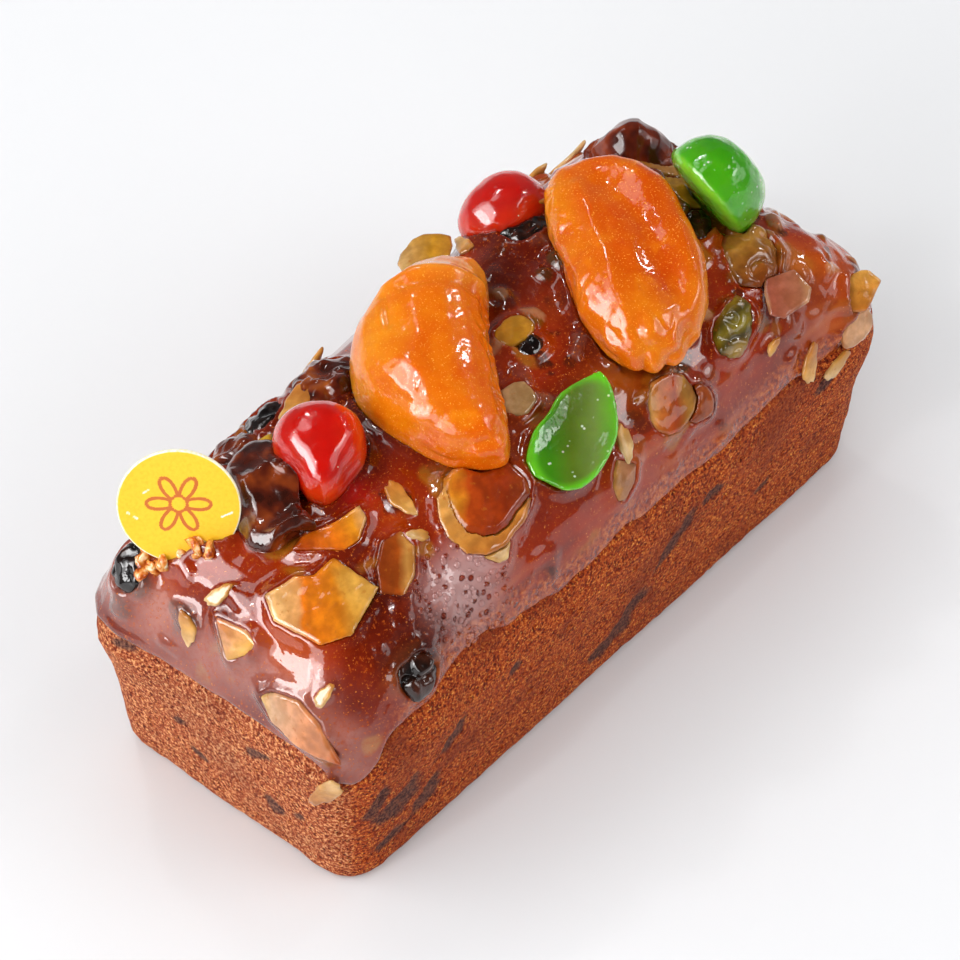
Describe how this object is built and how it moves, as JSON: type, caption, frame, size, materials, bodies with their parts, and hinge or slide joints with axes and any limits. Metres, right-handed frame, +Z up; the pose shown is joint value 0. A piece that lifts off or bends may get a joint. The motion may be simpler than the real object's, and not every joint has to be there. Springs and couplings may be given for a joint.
{
  "type": "fruit cake loaf",
  "caption": "Glazed fruit cake loaf with a domed crust, glacé apricots and cherries, dried fruit, flaked almonds and a round yellow tag.",
  "frame": {"origin": "middle of the flat base, under the middle of the loaf", "axes": "+X along the loaf, away from the end with the tag; +Z up; +Y across the loaf, away from the long side that shows"},
  "size_m": [0.154, 0.0696, 0.08],
  "materials": {
    "almond": "toasted flaked almond under a thin glaze",
    "apricot": "candied and glazed, translucent and glossy",
    "card": "plain yellow printed card with a white edge",
    "crust": "baked crumb under a thin clear apricot glaze",
    "green_cherry": "candied, translucent and glossy",
    "green_peel": "olive candied fruit under glaze",
    "peel": "amber candied peel and browned almond under glaze",
    "prune": "dried fruit under glaze, dark and glossy",
    "raisin": "dried fruit under glaze, nearly black and glossy",
    "red_cherry": "candied, translucent and glossy"
  },
  "bodies": {
    "root": {"almond_amber": "peel", "almond_back_left": "almond", "almond_back_right": "almond", "almond_by_cherry": "almond", "almond_clear": "peel", "almond_corner": "almond", "almond_end": "almond", "almond_end_right": "almond", "almond_far": "almond", "almond_light": "almond", "almond_middle": "almond", "almond_oval": "almond", "almond_pair": "peel", "almond_ridge": "almond", "almond_rim": "almond", "almond_side": "almond", "almond_square": "almond", "almond_square_right": "almond", "almond_tip": "almond", "apricot_back": "apricot", "apricot_front": "apricot", "cake": "crust", "cherry_green_back": "green_cherry", "cherry_green_front": "green_cherry", "cherry_red_back": "red_cherry", "cherry_red_front": "red_cherry", "fig": "prune", "peel_chunk": "peel", "peel_front": "peel", "peel_green": "green_peel", "peel_strip": "peel", "peel_under": "peel", "prune": "prune", "raisin_back": "raisin", "raisin_cluster": "prune", "raisin_corner": "raisin", "raisin_left": "prune", "raisin_middle": "raisin", "raisin_right": "raisin", "raisin_rim": "raisin", "raisin_side": "raisin", "raisin_top": "raisin", "tag": "card"}
  },
  "joints": []
}
